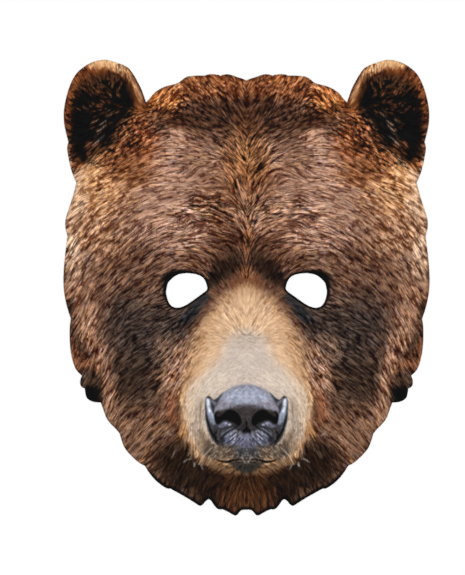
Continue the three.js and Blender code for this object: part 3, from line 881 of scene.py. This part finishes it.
def darkenRims(tone, edges, x, y):
    # Black by distance to the eye holes, with a wider rim on one side of each, and to the outline.
    outline, holes = cardDepth(edges, x, y)
    middle = (edges[1].min(0) + edges[1].max(0)) / 2
    across, up = np.abs(x) - abs(middle[0]), y - middle[1]
    sideways = np.maximum(across * -rims["eyeSide"][0] + up * rims["eyeSide"][1], 0)
    side = sideways / (np.hypot(across, up) + 1e-6)
    width = rims["eyeWidth"] + rims["eyeGain"] * side ** 3
    eye = smooth(1.5 - holes / width)
    o, d = toPhoto(x, y)
    top, full = rims["chinTop"]
    chin = smooth((d - top) / (full - top))
    edgeWidth = rims["edgeWidth"] * (1 - chin) + rims["chinWidth"] * chin
    edgeStrength = rims["edgeStrength"] * (1 - chin) + rims["chinStrength"] * chin
    edge = edgeStrength * smooth(1.3 - outline / edgeWidth)
    w = np.maximum(eye, edge)[:, None]
    return tone + w * (np.array(tones[rims["tone"]], float) - tone)


def buildCard(fields, paper):
    edges, thickness = topEdges(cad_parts[card["node"]])
    cut = [subdivide(edge, card["spacing"]) for edge in edges]
    # the wall's rings from the back's edge up, then a quarter round over the lip
    turns = np.radians(np.linspace(0, 90, card["lipSteps"] + 1))
    insets = np.concatenate([[0], card["lipWidth"] * (1 - np.cos(turns))])
    heights = np.concatenate([[0], thickness - card["lipWidth"] * (1 - np.sin(turns))])
    rings = [np.concatenate([inset(edge, width) for edge in cut]) for width in insets]
    faceEdges = [inset(edge, card["lipWidth"]) for edge in cut]
    inner = facePoints(edges)

    face = triangulate(faceEdges, inner)
    back = triangulate(cut, np.empty((0, 2)))
    ringSize = len(rings[0])
    lastRing = (len(rings) - 1) * ringSize
    nextInRing = np.concatenate([start + np.roll(np.arange(count), -1) for start, count in
                                 zip(np.cumsum([0] + [len(e) for e in cut[:-1]]), [len(e) for e in cut])])
    here = np.arange(ringSize)
    walls = []
    for k in range(len(rings) - 1):
        low, high = k * ringSize, (k + 1) * ringSize
        quad = np.stack([low + nextInRing, low + here, high + here, high + nextInRing], 1)
        walls.append(quad[:, [0, 2, 1]])
        walls.append(quad[:, [0, 3, 2]])
    face = face + lastRing
    back = back[:, ::-1]
    triangles = np.concatenate([face, *walls, back])
    print("card of", len(triangles), "triangles")
    points = np.concatenate([np.c_[ring, np.full(ringSize, z)] for ring, z in zip(rings, heights)] +
                            [np.c_[inner, np.full(len(inner), thickness)]]) / 1000

    mesh = bpy.data.meshes.new("printed_card")
    mesh.vertices.add(len(points))
    mesh.vertices.foreach_set("co", points.ravel())
    mesh.loops.add(triangles.size)
    mesh.loops.foreach_set("vertex_index", triangles.ravel())
    mesh.polygons.add(len(triangles))
    mesh.polygons.foreach_set("loop_start", np.arange(0, triangles.size, 3))
    slots = np.zeros(len(triangles), int)
    wallStart = len(face)
    slots[wallStart:wallStart + 2 * ringSize] = 1
    slots[len(triangles) - len(back):] = 2
    mesh.polygons.foreach_set("material_index", slots)
    mesh.polygons.foreach_set("use_smooth", slots == 0)
    mesh.update(calc_edges=True)

    x, y = points[:, 0] * 1000, points[:, 1] * 1000
    o, d = toPhoto(x, y)
    sharp = sharpen(paper)
    tone = sample(sharp, o, d)
    past = ((x > 0) * smooth(2 * softEllipse(o, d, *forehead["unmirrored"])))[:, None]
    tone = toLinear(darkenRims(tone + past * (sample(sharp, -o, d) - tone), edges, x, y))
    flow = sample(fields, o, d)
    side = np.where(x < 0, -1.0, 1.0)
    mesh.attributes.new("printTone", "FLOAT_COLOR", "POINT").data.foreach_set(
        "color", np.c_[tone, np.ones(len(tone))].ravel())
    comb = np.stack([side * flow[:, 0], flow[:, 1], flow[:, 3]], 1)
    mesh.attributes.new("comb", "FLOAT_VECTOR", "POINT").data.foreach_set("vector", comb.ravel())
    piece = bpy.data.objects.new("printed_card", mesh)
    bpy.context.scene.collection.objects.link(piece)
    return piece


# node helpers
def newMaterial(name):
    material = bpy.data.materials.new(name)
    material.use_nodes = True
    nodes, links = material.node_tree.nodes, material.node_tree.links
    return material, nodes, links, nodes["Principled BSDF"]


def math(tree, operation, a, b=None, clamp=False):
    node = tree.nodes.new("ShaderNodeMath")
    node.operation = operation
    node.use_clamp = clamp
    for socket, value in zip(node.inputs, (a, b)):
        if value is None:
            continue
        if isinstance(value, (int, float)):
            socket.default_value = value
        else:
            tree.links.new(value, socket)
    return node.outputs[0]


combGrain = {"turn": 15.0, "seedStep": 7.3}  # degrees between two neighbouring ways that the grain is combed


def makeCombGroup():
    # Fine grain drawn out along the fur. The fur's direction lies between two turns of a fixed step. In each
    # turn's own frame a noise is stretched along it, and the two are mixed by how near the direction is.
    group = bpy.data.node_groups.new("combedGrain", "ShaderNodeTree")
    for name in ("Place", "Comb"):
        group.interface.new_socket(name, in_out="INPUT", socket_type="NodeSocketVector")
    for name in ("Across", "Along", "Seed"):
        group.interface.new_socket(name, in_out="INPUT", socket_type="NodeSocketFloat")
    group.interface.new_socket("Grain", in_out="OUTPUT", socket_type="NodeSocketFloat")
    enter = group.nodes.new("NodeGroupInput")
    leave = group.nodes.new("NodeGroupOutput")
    comb = group.nodes.new("ShaderNodeSeparateXYZ")
    place = group.nodes.new("ShaderNodeSeparateXYZ")
    group.links.new(enter.outputs["Comb"], comb.inputs[0])
    group.links.new(enter.outputs["Place"], place.inputs[0])
    step = np.radians(combGrain["turn"]).item()
    turn = math(group, "DIVIDE", math(group, "ARCTAN2", comb.outputs["Y"], comb.outputs["X"]), step)
    lower = math(group, "FLOOR", turn)
    share = math(group, "SUBTRACT", turn, lower)
    noises = []
    for k in (0, 1):
        number = math(group, "ADD", lower, float(k))
        angle = math(group, "MULTIPLY", number, step)
        cosine, sine = math(group, "COSINE", angle), math(group, "SINE", angle)
        along = math(group, "ADD", math(group, "MULTIPLY", place.outputs["X"], cosine),
                     math(group, "MULTIPLY", place.outputs["Y"], sine))
        across = math(group, "SUBTRACT", math(group, "MULTIPLY", place.outputs["Y"], cosine),
                      math(group, "MULTIPLY", place.outputs["X"], sine))
        join = group.nodes.new("ShaderNodeCombineXYZ")
        group.links.new(math(group, "MULTIPLY", along, enter.outputs["Along"]), join.inputs["X"])
        group.links.new(math(group, "MULTIPLY", across, enter.outputs["Across"]), join.inputs["Y"])
        group.links.new(math(group, "ADD", math(group, "MULTIPLY", number, combGrain["seedStep"]),
                             enter.outputs["Seed"]), join.inputs["Z"])
        noise = group.nodes.new("ShaderNodeTexNoise")
        noise.inputs["Scale"].default_value = 1.0
        noise.inputs["Detail"].default_value = 1.0
        group.links.new(join.outputs[0], noise.inputs["Vector"])
        noises.append(noise.outputs["Fac"])
    rest = math(group, "SUBTRACT", 1.0, share)
    mixed = math(group, "ADD", math(group, "MULTIPLY", noises[0], rest),
                 math(group, "MULTIPLY", noises[1], share))
    width = math(group, "SQRT", math(group, "ADD", math(group, "MULTIPLY", share, share),
                                     math(group, "MULTIPLY", rest, rest)))
    spread = math(group, "DIVIDE", math(group, "SUBTRACT", mixed, 0.5), width)
    group.links.new(spread, leave.inputs["Grain"])
    return group


def placeGroup(nodes, links, group, inputs, **values):
    node = nodes.new("ShaderNodeGroup")
    node.node_tree = group
    for name, socket in inputs.items():
        links.new(socket, node.inputs[name])
    for name, value in values.items():
        node.inputs[name].default_value = value
    return node.outputs


fibres = {
    # name, size against the paper's other features, detail and bend of each noise
    "noises": [("mottle", 0.2, 3.0, 0.0), ("strand", 1.0, 1.0, 0.8), ("cut", 0.7, 1.0, 0.0),
               ("tooth", 7.0, 2.0, 0.0)],
    "width": 0.018,  # how far from its middle the bent noise still makes a fibre
    "cutEdge": 0.05,  # how softly the fibres end
}


def makePaperGroup():
    # A cloudy mottle, short curled fibres where a bent noise passes its middle, and a fine tooth.
    group = bpy.data.node_groups.new("paperFibres", "ShaderNodeTree")
    group.interface.new_socket("Place", in_out="INPUT", socket_type="NodeSocketVector")
    group.interface.new_socket("Size", in_out="INPUT", socket_type="NodeSocketFloat")
    for name in ("Mottle", "Fibres", "Tooth"):
        group.interface.new_socket(name, in_out="OUTPUT", socket_type="NodeSocketFloat")
    enter = group.nodes.new("NodeGroupInput")
    leave = group.nodes.new("NodeGroupOutput")
    fields = {}
    for name, gain, detail, bend in fibres["noises"]:
        noise = group.nodes.new("ShaderNodeTexNoise")
        noise.inputs["Detail"].default_value = detail
        noise.inputs["Distortion"].default_value = bend
        group.links.new(enter.outputs["Place"], noise.inputs["Vector"])
        group.links.new(math(group, "MULTIPLY", enter.outputs["Size"], gain), noise.inputs["Scale"])
        fields[name] = noise.outputs["Fac"]
    middle = math(group, "ABSOLUTE", math(group, "SUBTRACT", fields["strand"], 0.5))
    line = math(group, "SUBTRACT", 1.0, math(group, "DIVIDE", middle, fibres["width"]), clamp=True)
    part = math(group, "DIVIDE", math(group, "SUBTRACT", fields["cut"], 0.5), fibres["cutEdge"], clamp=True)
    group.links.new(fields["mottle"], leave.inputs["Mottle"])
    group.links.new(math(group, "MULTIPLY", line, part), leave.inputs["Fibres"])
    group.links.new(fields["tooth"], leave.inputs["Tooth"])
    return group


ink = {
    # grain across and along the fur per metre, its seed and its strength
    "coarse": (1250.0, 150.0, 0.0, 2.8),
    "fine": (2300.0, 260.0, 31.0, 2.2),
    "grainGain": 4.0,  # how strongly the fur's contrast shows the grain
    "grainLimits": (0.3, 2.0),  # the least and most that it multiplies the tone by
    "roughness": (0.44, 0.6),  # where the coat lies thick, and over the paper's tooth
    "mottle": 0.5,  # how strongly the mottle shows in the roughness, against the tooth
    "evener": 0.67,  # brings the two together back to a share of 0 to 1
    "fibres": 0.5,  # how high fibres stand, against the tooth
    "gloss": 0.08,  # the shader's specular level
    "fibreSize": 900.0,  # paper features per metre
    "relief": (0.25, 0.00002),  # the bump's strength, and its depth in metres
    "light": 1.13,  # how bright the studio shows a white sheet, and what its gloss adds to every tone
    "sheen": 0.004,
}


def addRelief(nodes, links, shader, height, relief):
    bump = nodes.new("ShaderNodeBump")
    bump.inputs["Strength"].default_value, bump.inputs["Distance"].default_value = relief
    links.new(height, bump.inputs["Height"])
    links.new(bump.outputs[0], shader.inputs["Normal"])


def inkMaterial(group, paperGroup):
    material, nodes, links, shader = newMaterial("printed face")
    tree = material.node_tree
    place = nodes.new("ShaderNodeTexCoord").outputs["Object"]
    tone = nodes.new("ShaderNodeAttribute")
    tone.attribute_name = "printTone"
    comb = nodes.new("ShaderNodeAttribute")
    comb.attribute_name = "comb"
    split = nodes.new("ShaderNodeSeparateXYZ")
    links.new(comb.outputs["Vector"], split.inputs[0])
    total = None
    for across, along, seed, strength in (ink["coarse"], ink["fine"]):
        grain = placeGroup(nodes, links, group, {"Place": place, "Comb": comb.outputs["Vector"]},
                           Across=across, Along=along, Seed=seed)
        part = math(tree, "MULTIPLY", grain["Grain"], strength)
        total = part if total is None else math(tree, "ADD", total, part)
    byContrast = math(tree, "MULTIPLY", split.outputs["Z"], ink["grainGain"])
    change = math(tree, "ADD", math(tree, "MULTIPLY", total, byContrast), 1.0)
    darkest, lightest = ink["grainLimits"]
    limited = math(tree, "MINIMUM", math(tree, "MAXIMUM", change, darkest), lightest)
    scale = nodes.new("ShaderNodeVectorMath")
    scale.operation = "SCALE"
    links.new(tone.outputs["Color"], scale.inputs[0])
    links.new(limited, scale.inputs["Scale"])
    links.new(scale.outputs[0], shader.inputs["Base Color"])
    shader.inputs["Specular IOR Level"].default_value = ink["gloss"]
    paper = placeGroup(nodes, links, paperGroup, {"Place": place}, Size=ink["fibreSize"])
    smoothest, roughest = ink["roughness"]
    uneven = math(tree, "ADD", paper["Tooth"], math(tree, "MULTIPLY", paper["Mottle"], ink["mottle"]))
    worn = math(tree, "MULTIPLY", uneven, ink["evener"])
    links.new(math(tree, "ADD", math(tree, "MULTIPLY", worn, roughest - smoothest), smoothest),
              shader.inputs["Roughness"])
    height = math(tree, "ADD", paper["Tooth"], math(tree, "MULTIPLY", paper["Fibres"], ink["fibres"]))
    addRelief(nodes, links, shader, height, ink["relief"])
    return material


papers = {
    "bare back": {
        "tone": (0.74, 0.715, 0.66),
        "fleck": (0.5, 0.45, 0.37),  # the tone of single fibres
        "stretch": (1.0, 1.0, 1.0),  # of the paper's features along x, y and z
        "size": 800.0,
        "mottle": 0.14,  # how much the cloudy mottle and the fine tooth change the tone
        "tooth": 0.12,
        "flecks": 0.5,
        "relief": (0.6, 0.00004),
    },
    "paper core": {
        "tone": (0.8, 0.785, 0.74),
        "fleck": (0.56, 0.52, 0.46),
        "stretch": (1.0, 1.0, 14.0),  # the sheet's layers show at its cut edge
        "size": 500.0,
        "mottle": 0.5,
        "tooth": 0.2,
        "flecks": 0.6,
        "relief": (0.8, 0.00006),
    },
    "pale floor": {
        "tone": (0.9, 0.9, 0.9),
        "fleck": (0.9, 0.9, 0.9),
        "stretch": (1.0, 1.0, 1.0),
        "size": 150.0,
        "mottle": 0.0,
        "tooth": 0.01,
        "flecks": 0.0,
        "relief": (0.1, 0.00002),
    },
}


# of every bare paper: the least roughness, what its tooth adds, the specular level and how high fibres stand
bareFinish = (0.75, 0.2, 0.2, 0.6)


def paperMaterial(name, group):
    # The tone changes with the paper's mottle and tooth, and its fibres mix in a second tone and stand proud.
    look = papers[name]
    material, nodes, links, shader = newMaterial(name)
    tree = material.node_tree
    stretch = nodes.new("ShaderNodeVectorMath")
    stretch.operation = "MULTIPLY"
    links.new(nodes.new("ShaderNodeTexCoord").outputs["Object"], stretch.inputs[0])
    stretch.inputs[1].default_value = look["stretch"]
    paper = placeGroup(nodes, links, group, {"Place": stretch.outputs[0]}, Size=look["size"])
    cloud = math(tree, "MULTIPLY", math(tree, "SUBTRACT", paper["Mottle"], 0.5), look["mottle"])
    grit = math(tree, "MULTIPLY", math(tree, "SUBTRACT", paper["Tooth"], 0.5), look["tooth"])
    brightness = math(tree, "ADD", math(tree, "ADD", cloud, grit), 1.0)
    mix = nodes.new("ShaderNodeMix")
    mix.data_type = "RGBA"
    mix.inputs["A"].default_value = (*look["tone"], 1)
    mix.inputs["B"].default_value = (*look["fleck"], 1)
    links.new(math(tree, "MULTIPLY", paper["Fibres"], look["flecks"]), mix.inputs["Factor"])
    scale = nodes.new("ShaderNodeVectorMath")
    scale.operation = "SCALE"
    links.new(mix.outputs["Result"], scale.inputs[0])
    links.new(brightness, scale.inputs["Scale"])
    links.new(scale.outputs[0], shader.inputs["Base Color"])
    least, added, gloss, fibreHeight = bareFinish
    roughness = math(tree, "ADD", math(tree, "MULTIPLY", paper["Tooth"], added), least)
    links.new(roughness, shader.inputs["Roughness"])
    shader.inputs["Specular IOR Level"].default_value = gloss
    height = math(tree, "ADD", paper["Tooth"], math(tree, "MULTIPLY", paper["Fibres"], fibreHeight))
    addRelief(nodes, links, shader, height, look["relief"])
    return material


studio = {
    "floorSize": 3.0,
    "lampCount": 4,
    "lampSize": 0.9,
    "lampDistance": 1.3,
    "lampHeight": 1.1,
    "lampPower": 11.3,
    "sky": 0.2,  # the even light from all round
    "backdrop": 0.9,  # what the camera sees past the floor
    "lens": 135.0,
    "aimX": -0.00784,  # the middle of the photograph, on the card
    "aimY": 0.0001,
    "photoHeight": 575,
}


def buildStudio(paperGroup):
    bpy.ops.mesh.primitive_plane_add(size=studio["floorSize"])
    floor = bpy.context.object
    floor.name = "floor"
    floor.data.materials.append(paperMaterial("pale floor", paperGroup))
    for k in range(studio["lampCount"]):
        a = 2 * np.pi * (k + 0.5) / studio["lampCount"]
        data = bpy.data.lights.new("softbox", "AREA")
        data.size = studio["lampSize"]
        data.energy = studio["lampPower"]
        lamp = bpy.data.objects.new("softbox", data)
        away = studio["lampDistance"]
        lamp.location = (away * np.cos(a), away * np.sin(a), studio["lampHeight"])
        lamp.rotation_euler = (-lamp.location).to_track_quat("-Z", "Y").to_euler()
        bpy.context.scene.collection.objects.link(lamp)
    world = bpy.data.worlds.new("studio")
    world.use_nodes = True
    nodes, links = world.node_tree.nodes, world.node_tree.links
    sky = nodes["Background"]
    sky.inputs["Color"].default_value = (1, 1, 1, 1)
    # a surface is lit by the dim sky, and the camera sees the pale backdrop
    seen = nodes.new("ShaderNodeLightPath").outputs["Is Camera Ray"]
    ramp = nodes.new("ShaderNodeMapRange")
    ramp.inputs["To Min"].default_value = studio["sky"]
    ramp.inputs["To Max"].default_value = studio["backdrop"]
    links.new(seen, ramp.inputs["Value"])
    links.new(ramp.outputs["Result"], sky.inputs["Strength"])
    bpy.context.scene.world = world
    bpy.context.scene.view_settings.view_transform = "Standard"


def buildCamera():
    # straight above the point at the photograph's middle, at the distance that makes one pixel its real size
    data = bpy.data.cameras.new("camera")
    data.lens = studio["lens"]
    seen = studio["photoHeight"] * photo["metresPerPixel"]
    camera = bpy.data.objects.new("camera", data)
    camera.location = (studio["aimX"], studio["aimY"], seen * data.lens / data.sensor_width)
    bpy.context.scene.collection.objects.link(camera)
    bpy.context.scene.camera = camera


paperGroup = makePaperGroup()
buildCamera()
buildStudio(paperGroup)
print("studio built")
fields, paper = paintPrint()
print("print painted")
mask = buildCard(fields, paper)
mask.data.materials.append(inkMaterial(makeCombGroup(), paperGroup))
mask.data.materials.append(paperMaterial("paper core", paperGroup))
mask.data.materials.append(paperMaterial("bare back", paperGroup))
print("card built")
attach(mask, "root")
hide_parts(card["node"])
